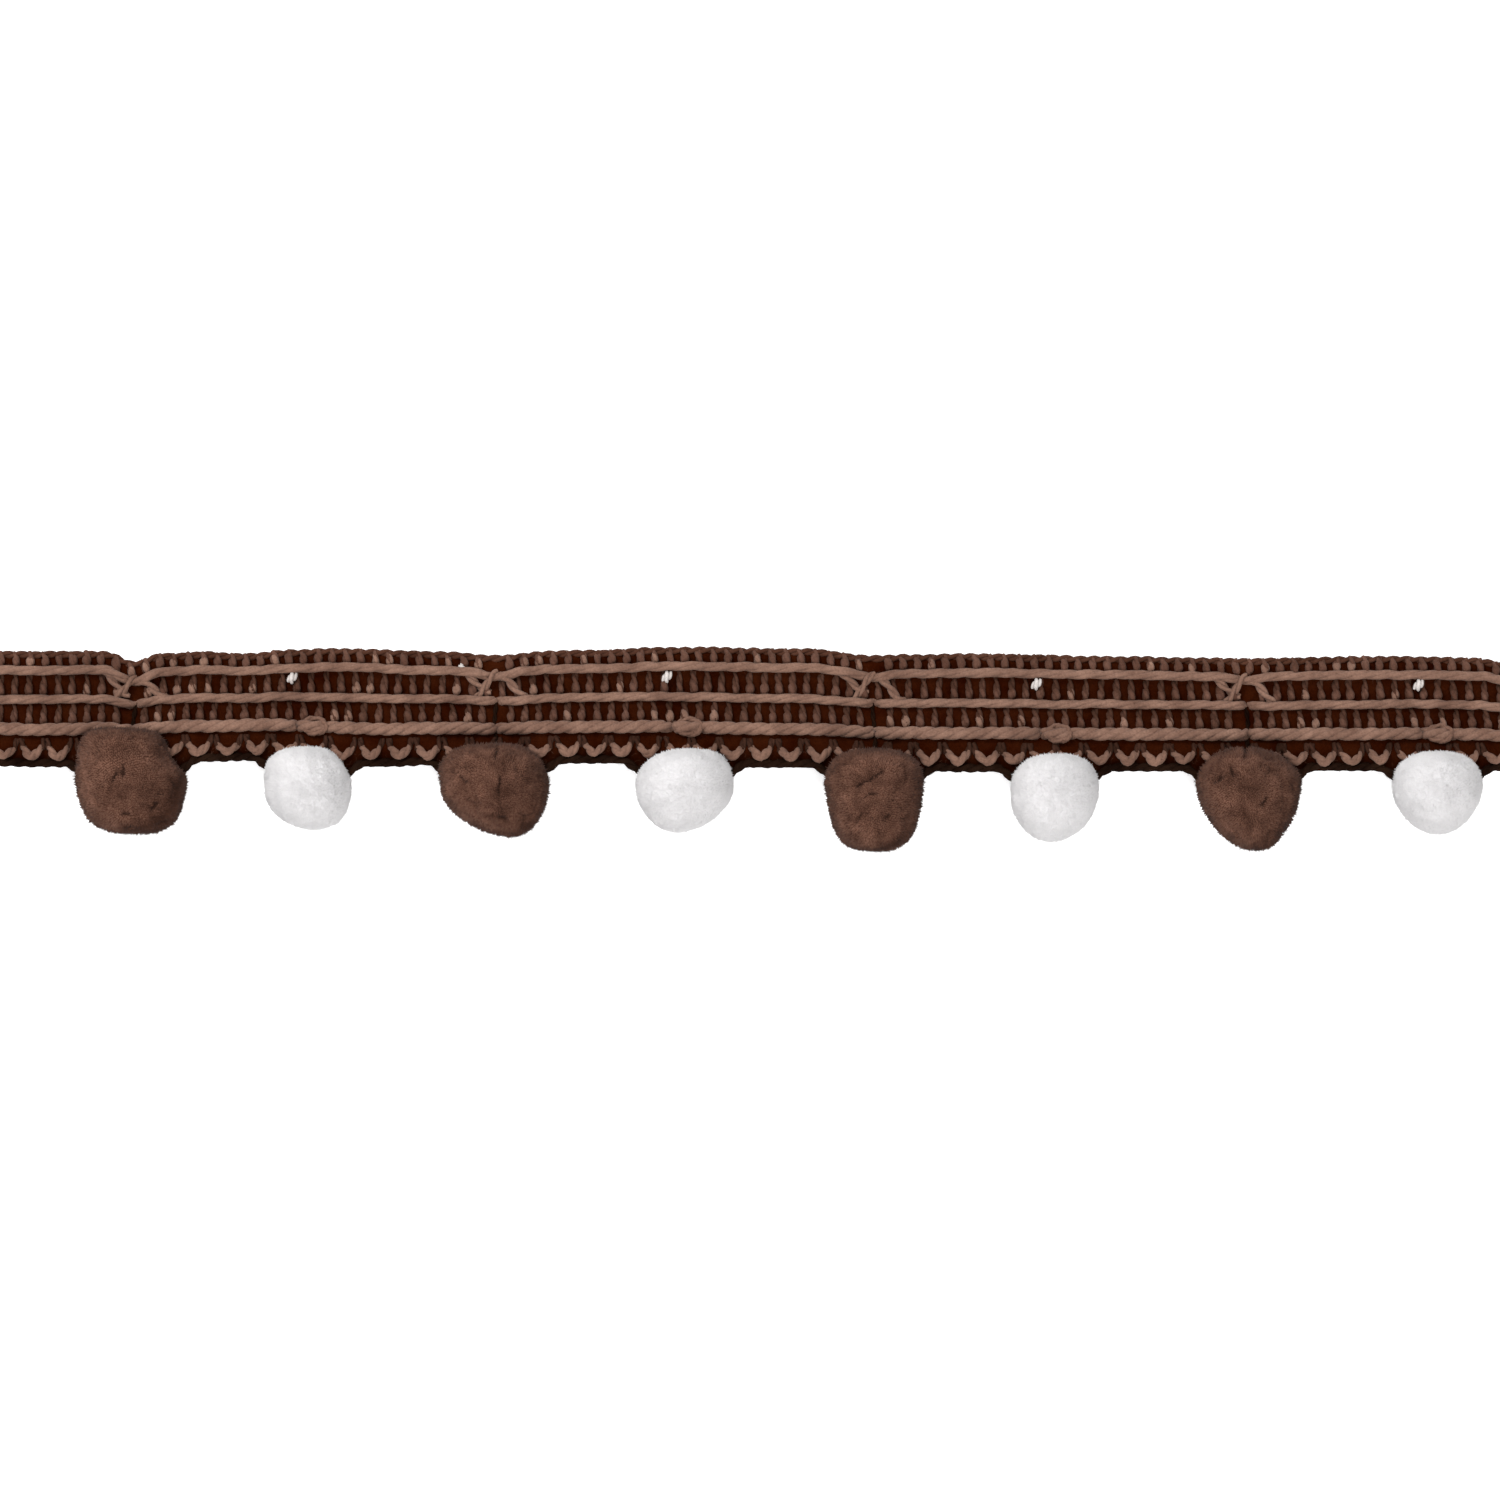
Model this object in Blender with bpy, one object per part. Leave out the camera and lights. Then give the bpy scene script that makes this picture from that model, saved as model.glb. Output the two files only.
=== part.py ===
"""Pompom fringe trim: a cut length of ribbed heading braid with eight small pompoms along its lower edge.

The trim lies face up. X runs along it, the pompoms hang towards -Y, and the surface it rests on is z = 0.
Sizes are in millimetres up to the last step, where each point is turned into metres.
"""

import math
import random

import bmesh
import bpy

METRES = 0.001
ORIGIN_Y = 4.25

# Heading braid
LENGTH = 133.0
STATION_STEP = 1.87
PLAIN_REACH = 1.2
FLAT_BACK = 0.27
BEND = 0.25
EDGE_LIFT = 2.5
SEAM_REACH = 0.55
SEAM_DEPTH = 0.34
KNOT_REACH = 0.8
KNOT_DIP = 0.42

# Pompoms
SIDES = 10
PHASE = 18.0
RING_ANGLES = (36.0, 74.0, 112.0)
TOP_ANGLE = 158.0
HIDDEN_TOP = -2.9
UPPER_FULLNESS = {"brown": 2.8, "white": 2.5}
CENTRE_HEIGHT = 3.6
BACK_DEPTH = 4.15
FRONT_DEPTH = 3.75
CORE_SHARE = 0.43
PARTING = 0.22
DOME = 1.06
FILL = 1.035
RAGGED = 0.1
GAP = 0.36
SEED = 41

# The two long edges of the braid as it lies, left to right
EDGE_COLUMNS = ("x", "y")
TOP_EDGE = (
    (-66.5, 4.84),
    (-56.9, 4.86),
    (-54.2, 3.95),
    (-51.6, 4.66),
    (-48.1, 4.81),
    (-44.6, 4.64),
    (-40.5, 4.99),
    (-35.9, 5.12),
    (-27.1, 4.81),
    (-22.7, 4.52),
    (-16.6, 4.90),
    (-5.2, 5.21),
    (4.4, 5.08),
    (10.7, 4.52),
    (20.1, 4.64),
    (30.6, 4.42),
    (43.3, 4.22),
    (56.9, 4.42),
    (63.9, 4.29),
    (66.5, 3.85),
)
LOWER_EDGE = (
    (-66.5, -5.00),
    (-62.1, -5.08),
    (-48.1, -4.64),
    (-43.7, -4.51),
    (-32.4, -5.08),
    (-28.0, -4.90),
    (-14.0, -4.77),
    (2.6, -5.16),
    (20.1, -5.51),
    (34.1, -5.47),
    (51.6, -5.43),
    (66.5, -5.43),
)

# The face of the braid from its top edge down: share of the width, height over the back, and which rib it is
FACE_COLUMNS = ("across", "height", "rib")
FACE = (
    (0.000, 0.30, 0),
    (0.016, 0.78, 0),
    (0.085, 0.76, 0),
    (0.108, 0.84, 1),
    (0.130, 1.36, 1),
    (0.168, 1.36, 1),
    (0.200, 0.84, 1),
    (0.245, 0.70, 0),
    (0.345, 0.72, 0),
    (0.370, 0.84, 2),
    (0.395, 1.36, 2),
    (0.432, 1.36, 2),
    (0.460, 0.84, 2),
    (0.505, 0.70, 0),
    (0.600, 0.72, 0),
    (0.622, 0.84, 3),
    (0.655, 1.42, 3),
    (0.700, 1.42, 3),
    (0.745, 0.84, 3),
    (0.782, 0.66, 0),
    (0.820, 0.96, 4),
    (0.870, 1.06, 4),
    (0.925, 0.86, 4),
    (0.985, 0.60, 0),
    (1.000, 0.28, 0),
)
BACK = (0.985, 0.86, 0.72, 0.58, 0.44, FLAT_BACK, 0.02)

# One row for each pompom
POMPOM_COLUMNS = ("name", "x", "top", "waist", "bottom", "width", "fullness", "lean", "taper", "yarn")
POMPOMS = (
    ("pompom_brown_1", -54.05, -1.85, -7.10, -10.80, 9.25, 3.40, 0.26, 0.170, "brown"),
    ("pompom_white_1", -38.65, -3.45, -7.10, -10.52, 7.35, 2.10, 0.62, 0.000, "white"),
    ("pompom_brown_2", -22.30, -3.25, -7.10, -11.15, 9.20, 1.88, 1.40, 0.095, "brown"),
    ("pompom_white_2", -5.75, -3.65, -7.10, -10.82, 8.35, 1.75, -0.54, 0.030, "white"),
    ("pompom_brown_3", 10.85, -3.70, -7.35, -12.35, 8.22, 3.80, 0.06, 0.155, "brown"),
    ("pompom_white_3", 26.60, -4.10, -7.30, -11.65, 7.50, 1.97, -0.30, 0.020, "white"),
    ("pompom_brown_4", 43.60, -3.55, -7.35, -12.40, 8.75, 2.10, 0.60, 0.190, "brown"),
    ("pompom_white_4", 60.05, -3.90, -7.20, -10.98, 7.50, 1.88, 0.04, 0.100, "white"),
)

YARN_COLUMNS = ("name", "colour", "roughness")
YARNS = (
    ("braid_yarn", (0.104, 0.050, 0.032, 1.0), 0.90),
    ("brown_pile", (0.100, 0.046, 0.030, 1.0), 0.95),
    ("white_pile", (0.780, 0.750, 0.745, 1.0), 0.95),
)


def placed(point):
    """A point in metres, with the origin on the flat back near the top edge at mid-length."""
    return METRES * point[0], METRES * (point[1] - ORIGIN_Y), METRES * point[2]


def between(table, x):
    """The height of a table of (x, y) rows at x, eased from each row to the next."""
    for (x0, y0), (x1, y1) in zip(table, table[1:]):
        if x <= x1:
            share = max(0.0, (x - x0) / (x1 - x0))
            return y0 + (y1 - y0) * (0.5 - 0.5 * math.cos(math.pi * share))
    return table[-1][1]


def back_height(across):
    """How high the braid's back is: flat on the surface, then rising to the pompoms' waists."""
    share = max(0.0, (across - FLAT_BACK) / (1.0 - FLAT_BACK))
    steep = EDGE_LIFT / (BEND * BEND + 2.0 * BEND * (1.0 - BEND))
    if share < BEND:
        return steep * share * share
    return steep * BEND * BEND + 2.0 * steep * BEND * (share - BEND)


def bump(distance, reach):
    """One at no distance, nothing past the reach."""
    if abs(distance) >= reach:
        return 0.0
    return 0.5 + 0.5 * math.cos(math.pi * distance / reach)


def face_height(x, height, rib):
    """The face's height over the back at x, pressed in along each seam and broken beside each knot."""
    for row in POMPOMS:
        pompom = dict(zip(POMPOM_COLUMNS, row))
        if pompom["yarn"] == "brown":
            press = SEAM_DEPTH * bump(x - pompom["x"], 2.0 * SEAM_REACH)
            height -= press if rib else 0.35 * press
        elif rib == 3:
            height -= KNOT_DIP * bump(x - pompom["x"] - 1.3, KNOT_REACH)
            height -= KNOT_DIP * bump(x - pompom["x"] + 0.7, KNOT_REACH)
    return height


def stations():
    """Where the section is drawn along the length, closer together at the seams and the knots."""
    count = round(LENGTH / STATION_STEP)
    even = [-LENGTH / 2.0 + LENGTH * i / count for i in range(count + 1)]
    close = []
    for row in POMPOMS:
        pompom = dict(zip(POMPOM_COLUMNS, row))
        steps = (-1.1, -0.5, 0.0, 0.5, 1.1) if pompom["yarn"] == "brown" else (-1.5, -0.7, 0.1, 0.7, 1.3, 2.1)
        close += [pompom["x"] + step for step in steps]
    kept = [x for x in even if min(abs(x - c) for c in close) > 0.75 and abs(x) > PLAIN_REACH]
    return sorted(kept + close)


def across_to_y(x, across):
    return between(TOP_EDGE, x) * (1.0 - across) + between(LOWER_EDGE, x) * across


def section(x):
    """The braid's outline at x, up the back and down the face."""
    points = [(x, across_to_y(x, a), back_height(a) + face_height(x, h, rib)) for a, h, rib in FACE]
    points += [(x, across_to_y(x, a), back_height(a)) for a in BACK]
    return points


def heading_mesh():
    """The braid: one closed loft through its sections, with plain cut ends."""
    mesh = bmesh.new()
    rings = []
    for x in stations():
        rings.append([mesh.verts.new(placed(point)) for point in section(x)])
    for ring, after in zip(rings, rings[1:]):
        for i in range(len(ring)):
            j = (i + 1) % len(ring)
            mesh.faces.new((ring[i], ring[j], after[j], after[i]))
    mesh.faces.new(list(reversed(rings[0])))
    mesh.faces.new(rings[-1])
    return mesh


def slot_front(x):
    """The height that the pile in front of the braid stays over."""
    highest = max(back_height(a) + h for a, h, rib in FACE if a > 0.6)
    return highest + GAP


def slot_back(x, y):
    """The height that the pile behind the braid stays under."""
    top = between(TOP_EDGE, x)
    lower = between(LOWER_EDGE, x)
    across = min(1.0, (top - y) / (top - lower))
    return back_height(across) - 1.2 * GAP


def outer(pompom, angle, turn):
    """A point of the pompom's outside. The angle is measured from straight down, the turn from the front."""
    tall = math.cos(math.radians(angle))
    wide = math.sin(math.radians(angle))
    power = pompom["fullness"] if tall > 0.0 else UPPER_FULLNESS[pompom["yarn"]]
    forward = math.cos(math.radians(turn))
    reach = pompom["bottom"] if tall > 0.0 else pompom["top"]
    if tall <= 0.0 and forward < -0.01:
        reach = min(reach, HIDDEN_TOP)
    size = (abs(tall) ** power + wide ** power) ** (-1.0 / power)
    y = pompom["waist"] + FILL * (reach - pompom["waist"]) * abs(tall) * size
    fall = pompom["waist"] - y
    radius = wide * size
    depth = FRONT_DEPTH if forward > 0.0 else BACK_DEPTH
    half = 0.5 * FILL * pompom["width"] * radius * (1.0 - pompom["taper"] * max(fall, -2.2) / 4.0)
    share = fall / (pompom["waist"] - pompom["bottom"])
    lean = pompom["lean"] * share * abs(share)
    x = pompom["x"] + lean + half * math.sin(math.radians(turn))
    return x, y, CENTRE_HEIGHT + depth * radius * forward


def inner(pompom, angle, turn):
    """A point of the firm middle, where neighbouring locks join."""
    x, y, z = outer(pompom, angle, turn)
    middle = (pompom["x"], pompom["waist"], CENTRE_HEIGHT)
    return tuple(m + CORE_SHARE * (p - m) for m, p in zip(middle, (x, y, z)))


def rim(pompom, turn, front):
    """A point of the level top of the firm middle, just under the braid's lower edge."""
    lower = between(LOWER_EDGE, pompom["x"])
    forward = abs(math.cos(math.radians(turn)))
    middle = EDGE_LIFT + 0.5
    z = middle + (1.0 if front else -1.0) * (0.95 + 0.35 * forward)
    return pompom["x"] + 1.5 * math.sin(math.radians(turn)), lower - 0.5, z


def tip(pompom, angle, turn, jitter):
    """The outside point of a lock, moved a little in or out."""
    middle = (pompom["x"], pompom["waist"], CENTRE_HEIGHT)
    point = outer(pompom, angle, turn)
    size = math.dist(point, middle)
    return [m + (p - m) * (1.0 + jitter / size) for m, p in zip(middle, point)]


def rested(pompom, point):
    """The point, with its lock made shorter where it would reach below the surface."""
    if point[2] >= 0.0:
        return point
    middle = (pompom["x"], pompom["waist"], CENTRE_HEIGHT)
    share = middle[2] / (middle[2] - point[2])
    return [m + (p - m) * share for m, p in zip(middle, point)]


def cleared(pompom, point, side):
    """The point, kept in front of the braid, behind it or under its lower edge."""
    x, y, z = point
    if side == 0:
        return [x, min(y, between(LOWER_EDGE, x) - 1.4 * GAP), z]
    if side > 0:
        return [x, y, max(z, slot_front(x))]
    if side < 0:
        return [x, y, min(z, slot_back(x, y))]


def add_lock(mesh, pompom, roots, spots, side, level, chance):
    """One lock: its root corners are shared with its neighbours, its outside stands apart from theirs."""
    jitter = chance.uniform(-RAGGED, RAGGED)
    corners = [tip(pompom, angle, turn, jitter) for angle, turn in spots]
    middle = [sum(c[k] for c in corners) / len(corners) for k in range(3)]
    ends = []
    for corner in corners:
        share = PARTING / math.dist(corner, middle)
        point = [c + (m - c) * share for c, m in zip(corner, middle)]
        point = rested(pompom, cleared(pompom, point, side))
        ends.append([point[0], point[1], 0.0] if level else point)
    heart = (pompom["x"], pompom["waist"], CENTRE_HEIGHT)
    raised = [h + (m - h) * DOME for h, m in zip(heart, middle)]
    raised = rested(pompom, cleared(pompom, raised, side))
    if level:
        raised[2] = 0.0
    outside = [mesh.verts.new(placed(end)) for end in ends]
    peak = mesh.verts.new(placed(raised))
    for i in range(len(roots)):
        j = (i + 1) % len(roots)
        if side and i == 0:
            mesh.faces.new((roots[i], roots[j], outside[i]))
            mesh.faces.new((roots[j], outside[j], outside[i]))
        elif side and i == 2:
            mesh.faces.new((roots[i], roots[j], outside[j]))
            mesh.faces.new((roots[i], outside[j], outside[i]))
        else:
            mesh.faces.new((roots[i], roots[j], outside[j], outside[i]))
        mesh.faces.new((outside[i], outside[j], peak))


def pompom_mesh(pompom, chance):
    """A pompom: rings of locks fanned from a firm middle, parted at the top for the braid's lower edge."""
    mesh = bmesh.new()

    def new(point):
        return mesh.verts.new(placed(point))

    step = 360.0 / SIDES
    turns = [PHASE + step * i for i in range(SIDES)]
    swing = [[chance.uniform(-3.0, 3.0) for _ in turns] for _ in RING_ANGLES]
    lift = [[chance.uniform(-3.0, 3.0) for _ in turns] for _ in RING_ANGLES]
    for ring in swing[1:]:
        for i, turn in enumerate(turns):
            if round(turn) in (90, 162, 198, 270):
                ring[i] = 0.0

    def spot(ring, i):
        i %= SIDES
        return RING_ANGLES[ring] + lift[ring][i], turns[i] + swing[ring][i]

    pole = new(inner(pompom, 0.0, 0.0))
    rings = [[new(inner(pompom, *spot(k, i))) for i in range(SIDES)] for k in range(len(RING_ANGLES))]
    top = []
    for i, turn in enumerate(turns):
        forward = math.cos(math.radians(turn))
        if abs(forward) < 0.01:
            top.append({1: new(rim(pompom, turn, True)), -1: new(rim(pompom, turn, False))})
        else:
            side = 1 if forward > 0.0 else -1
            top.append({side: new(rim(pompom, turn, forward > 0.0))})

    for i in range(0, SIDES, 2):
        roots = [pole] + [rings[0][(i + k) % SIDES] for k in range(3)]
        spots = [(0.0, 0.0)] + [spot(0, i + k) for k in range(3)]
        add_lock(mesh, pompom, roots, spots, 0, False, chance)
    for k in range(len(RING_ANGLES) - 1):
        for i in range(SIDES):
            j = (i + 1) % SIDES
            roots = [rings[k][i], rings[k + 1][i], rings[k + 1][j], rings[k][j]]
            spots = [spot(k, i), spot(k + 1, i), spot(k + 1, j), spot(k, j)]
            level = k == 1 and round(turns[i]) == 162
            add_lock(mesh, pompom, roots, spots, 0, level, chance)
    last = len(RING_ANGLES) - 1
    for i in range(SIDES):
        j = (i + 1) % SIDES
        side = 1 if math.cos(math.radians(turns[i] + 0.5 * step)) > 0.0 else -1
        roots = [rings[last][i], top[i][side], top[j][side], rings[last][j]]
        spots = [spot(last, i), (TOP_ANGLE, turns[i]), (TOP_ANGLE, turns[j]), spot(last, j)]
        add_lock(mesh, pompom, roots, spots, side, False, chance)

    for i, turn in enumerate(turns):
        if len(top[i]) == 2:
            mesh.faces.new((rings[last][i], top[i][1], top[i][-1]))
    front = [i for i, turn in enumerate(turns) if math.cos(math.radians(turn)) > -0.01]
    behind = [i for i, turn in enumerate(turns) if math.cos(math.radians(turn)) < 0.01]
    front.sort(key=lambda i: math.sin(math.radians(turns[i])))
    behind.sort(key=lambda i: -math.sin(math.radians(turns[i])))
    mesh.faces.new([top[i][1] for i in front] + [top[i][-1] for i in behind])
    return mesh


def add_piece(name, mesh, material, collection):
    """Finishes a mesh as one named object that faces outwards."""
    bmesh.ops.recalc_face_normals(mesh, faces=mesh.faces)
    data = bpy.data.meshes.new(name)
    mesh.to_mesh(data)
    mesh.free()
    data.materials.append(material)
    piece = bpy.data.objects.new(name, data)
    collection.objects.link(piece)
    return piece


def yarn_material(name, colour, roughness):
    material = bpy.data.materials.new(name)
    material.use_nodes = True
    shader = material.node_tree.nodes["Principled BSDF"]
    shader.inputs["Base Color"].default_value = colour
    shader.inputs["Roughness"].default_value = roughness
    shader.inputs["Metallic"].default_value = 0.0
    material.diffuse_color = colour
    return material


def build():
    for piece in list(bpy.data.objects):
        bpy.data.objects.remove(piece, do_unlink=True)
    collection = bpy.data.collections.new("pompom_fringe_trim")
    bpy.context.scene.collection.children.link(collection)
    materials = {row[0]: yarn_material(*row) for row in YARNS}
    add_piece("heading_braid", heading_mesh(), materials["braid_yarn"], collection)
    chance = random.Random(SEED)
    for row in POMPOMS:
        pompom = dict(zip(POMPOM_COLUMNS, row))
        mesh = pompom_mesh(pompom, chance)
        add_piece(pompom["name"], mesh, materials[pompom["yarn"] + "_pile"], collection)


build()
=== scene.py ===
import math
import random

import bmesh
import bpy
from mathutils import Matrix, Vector, noise


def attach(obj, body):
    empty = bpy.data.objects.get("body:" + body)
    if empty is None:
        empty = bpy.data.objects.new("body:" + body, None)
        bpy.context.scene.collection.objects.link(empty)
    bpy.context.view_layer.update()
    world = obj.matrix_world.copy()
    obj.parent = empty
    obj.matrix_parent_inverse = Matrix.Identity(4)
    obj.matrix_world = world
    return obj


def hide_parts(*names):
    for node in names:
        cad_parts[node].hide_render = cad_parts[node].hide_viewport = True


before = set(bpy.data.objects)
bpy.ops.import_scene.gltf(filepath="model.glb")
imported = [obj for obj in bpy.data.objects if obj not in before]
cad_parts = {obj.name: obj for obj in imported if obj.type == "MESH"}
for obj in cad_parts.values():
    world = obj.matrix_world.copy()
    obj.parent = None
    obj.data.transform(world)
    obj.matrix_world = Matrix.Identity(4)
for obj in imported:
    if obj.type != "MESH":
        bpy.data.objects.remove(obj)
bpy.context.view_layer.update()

# The trim's numbers are in millimetres, or shares. Blender's own settings are in metres.
# Places across the braid run from 0 at its top edge to 1 at its lower edge.
METRES = 0.001
ORIGIN_Y = 4.25

# The braid's lie, the same as the solids: the share of its width that lies flat, the share of
# the rest over which it bends up, and the height of its lower edge
LENGTH = 133.0
FLAT_BACK = 0.27
BEND = 0.25
EDGE_LIFT = 2.5

# Its two edges as rows of x and y
TOP_EDGE = (
    (-66.5, 4.84),
    (-56.9, 4.86),
    (-54.2, 3.95),
    (-51.6, 4.66),
    (-48.1, 4.81),
    (-44.6, 4.64),
    (-40.5, 4.99),
    (-35.9, 5.12),
    (-27.1, 4.81),
    (-22.7, 4.52),
    (-16.6, 4.90),
    (-5.2, 5.21),
    (4.4, 5.08),
    (10.7, 4.52),
    (20.1, 4.64),
    (30.6, 4.42),
    (43.3, 4.22),
    (56.9, 4.42),
    (63.9, 4.29),
    (66.5, 3.85),
)
LOWER_EDGE = (
    (-66.5, -5.00),
    (-62.1, -5.08),
    (-48.1, -4.64),
    (-43.7, -4.51),
    (-32.4, -5.08),
    (-28.0, -4.90),
    (-14.0, -4.77),
    (2.6, -5.16),
    (20.1, -5.51),
    (34.1, -5.47),
    (51.6, -5.43),
    (66.5, -5.43),
)

# The cloth under the cords, painted dark as the shade between them: share of the width, height over
# the back
GROUND = (
    (0.000, 0.25),
    (0.030, 0.46),
    (0.090, 0.50),
    (0.150, 0.62),
    (0.215, 0.42),
    (0.290, 0.42),
    (0.350, 0.50),
    (0.415, 0.62),
    (0.480, 0.42),
    (0.550, 0.42),
    (0.610, 0.50),
    (0.675, 0.64),
    (0.770, 0.38),
    (0.850, 0.44),
    (0.930, 0.44),
    (1.000, 0.30),
)

# Pompoms, the same as the solids
POMPOM_COLUMNS = ("name", "x", "top", "waist", "bottom", "width", "fullness", "lean", "taper", "yarn")
POMPOMS = (
    ("pompom_brown_1", -54.05, -1.85, -7.10, -10.80, 9.25, 3.40, 0.26, 0.170, "brown"),
    ("pompom_white_1", -38.65, -3.45, -7.10, -10.52, 7.35, 2.10, 0.62, 0.000, "white"),
    ("pompom_brown_2", -22.30, -3.25, -7.10, -11.15, 9.20, 1.88, 1.40, 0.095, "brown"),
    ("pompom_white_2", -5.75, -3.65, -7.10, -10.82, 8.35, 1.75, -0.54, 0.030, "white"),
    ("pompom_brown_3", 10.85, -3.70, -7.35, -12.35, 8.22, 3.80, 0.06, 0.155, "brown"),
    ("pompom_white_3", 26.60, -4.10, -7.30, -11.65, 7.50, 1.97, -0.30, 0.020, "white"),
    ("pompom_brown_4", 43.60, -3.55, -7.35, -12.40, 8.75, 2.10, 0.60, 0.190, "brown"),
    ("pompom_white_4", 60.05, -3.90, -7.20, -10.98, 7.50, 1.88, 0.04, 0.100, "white"),
)

# How full a pompom's outline is above its waist: by its yarn, or by its name where the photo differs
UPPER_FULLNESS = {"brown": 3.0, "white": 2.6}
SHOULDERS = {"pompom_brown_1": 4.4, "pompom_brown_4": 2.2}

# How much narrower a pompom's top is than its waist, and how far it lies to the side
NECKS = {"pompom_brown_1": (0.18, -0.45)}

# Partings in the brown pile, painted dark with shade: where each lies on the face, how long it is and
# its slant in degrees
MARK_COLUMNS = ("x", "y", "long", "slant")
MARKS = (
    (-55.1, -5.9, 1.1, 80.0),
    (-54.3, -5.4, 1.3, 105.0),
    (-54.0, -9.3, 0.8, 30.0),
    (-51.6, -8.6, 1.0, 70.0),
    (-24.9, -6.2, 1.0, -25.0),
    (-21.7, -6.7, 1.7, 95.0),
    (-21.4, -9.6, 0.8, 5.0),
    (-22.0, -3.9, 1.0, 90.0),
    (9.8, -6.5, 1.6, 38.0),
    (11.0, -5.8, 1.4, 42.0),
    (10.6, -7.5, 1.0, 20.0),
    (11.9, -9.6, 0.9, 60.0),
    (40.6, -6.2, 1.0, 60.0),
    (41.8, -5.5, 1.0, 120.0),
    (43.1, -3.9, 1.0, 85.0),
    (44.6, -8.2, 1.1, 75.0),
)

# How wide a parting is, how fast it fades past its ends, and how far off it is looked for
MARK_WIDTH = 0.19
MARK_FADE = 0.22
MARK_REACH = 2.0

# A pompom's centre over the surface, its depth below and above that centre, the gap that it
# leaves under the braid's back, and the height from which the front of its parted top begins
CENTRE_HEIGHT = 3.6
BACK_DEPTH = 4.15
FRONT_DEPTH = 3.75
GAP = 0.36
SLOT_FRONT = 3.72

# The pile: its shortest fibre, then by yarn its longest one, how strongly it creases (its form dips in
# and its colour takes painted shade there), and how light its sides are painted, as the sides carry
# painted shade
PILE_SHORTEST = 0.16
PILE_LONGEST = {"brown": 0.40, "white": 0.30}
CREASING = {"brown": 0.6, "white": 0.15}
SIDE_LIGHT = {"brown": 0.12, "white": 0.55}

# How far the lower edge lies further down beside a pompom, and over what length
DROOP = 0.11
DROOP_REACH = 2.1

# How far the upper rib and the other two dip at a brown pompom's ties, and how far the lower one
# dips right of a white pompom's knot. Left of the knot it dips as at a tie.
UPPER_RIB_DIP = 0.54
RIB_DIP = 0.80
KNOT_SIDE_DIP = 0.55

# Fibres at each cut end, and hairs over the whole braid
CUT_END_FIBRES = 150
STRAY_FIBRES = 1100

# The camera's frame at its focus, and its lens
FRAME_WIDTH = 131.25
FOCUS_HEIGHT = 3.0
FOCUS_Y = -3.675
LENS = 120.0
SENSOR = 36.0

# Lights: places and sizes in metres, power in watts
LIGHT_AIM = (0.0, -0.01, 0.0)
LIGHTS = (
    ("key", (-0.38, 0.40, 0.62), 0.30, 3.6),
    ("fill", (0.14, -0.46, 0.60), 0.50, 2.4),
)
WORLD_STRENGTH = 1.08


def named(columns, rows):
    """Each row of a table as a dict, by its column names."""
    return [dict(zip(columns, row)) for row in rows]


POMPOM_ROWS = named(POMPOM_COLUMNS, POMPOMS)
MARK_ROWS = named(MARK_COLUMNS, MARKS)
BROWN_X = [pompom["x"] for pompom in POMPOM_ROWS if pompom["yarn"] == "brown"]
WHITE_X = [pompom["x"] for pompom in POMPOM_ROWS if pompom["yarn"] == "white"]


def steps(count):
    """Even steps from 0 to 1."""
    return [i / count for i in range(count + 1)]


def placed(x, y, z):
    return Vector((METRES * x, METRES * (y - ORIGIN_Y), METRES * z))


def between(table, x):
    """The height of a table of (x, y) rows at x, eased from each row to the next."""
    for (x0, y0), (x1, y1) in zip(table, table[1:]):
        if x <= x1:
            share = max(0.0, (x - x0) / (x1 - x0))
            return y0 + (y1 - y0) * (0.5 - 0.5 * math.cos(math.pi * share))
    return table[-1][1]


def back_height(across):
    """How high the braid's back is: flat on the surface, then rising to the pompoms' waists."""
    share = min(1.1, max(0.0, (across - FLAT_BACK) / (1.0 - FLAT_BACK)))
    steep = EDGE_LIFT / (BEND * BEND + 2.0 * BEND * (1.0 - BEND))
    if share < BEND:
        return steep * share * share
    return steep * BEND * BEND + 2.0 * steep * BEND * (share - BEND)


def bump(distance, reach):
    """One at no distance, nothing past the reach."""
    if abs(distance) >= reach:
        return 0.0
    return 0.5 + 0.5 * math.cos(math.pi * distance / reach)


def across_to_y(x, across):
    return between(TOP_EDGE, x) * (1.0 - across) + between(LOWER_EDGE, x) * across


def on_braid(x, across, height):
    """A point of the braid: along it, across it from the top edge down, and over its back."""
    return x, across_to_y(x, across), back_height(min(1.02, across)) + height


def wobble(x, seed, size):
    """A slow unevenness along the braid."""
    slow = noise.noise(Vector((0.35 * x, 7.3 * seed, 1.7)))
    quick = noise.noise(Vector((1.3 * x, 3.1 * seed, 9.2)))
    return size * (slow + 0.6 * quick)


def droop(x):
    """How much further down the lower edge lies beside each pompom, as a share of the width."""
    share = 0.0
    for pompom in POMPOM_ROWS:
        beside = abs(x - pompom["x"]) - 0.5 * pompom["width"] + 0.7
        share = max(share, DROOP * bump(beside, DROOP_REACH))
    return share


# Materials

WHITE = (1.0, 1.0, 1.0, 1.0)
FIBRE_SHADE = (0.52, 0.50, 0.48, 1.0)
DEEP_SHADE = (0.22, 0.24, 0.30, 1.0)


def shader_nodes(name):
    material = bpy.data.materials.new(name)
    material.use_nodes = True
    tree = material.node_tree
    return material, tree, tree.nodes["Principled BSDF"]


def node(tree, kind, inputs=(), **settings):
    made = tree.nodes.new(kind)
    for key, value in settings.items():
        setattr(made, key, value)
    for key, value in inputs:
        if isinstance(value, bpy.types.NodeSocket):
            tree.links.new(value, made.inputs[key])
        else:
            made.inputs[key].default_value = value
    return made


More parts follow.
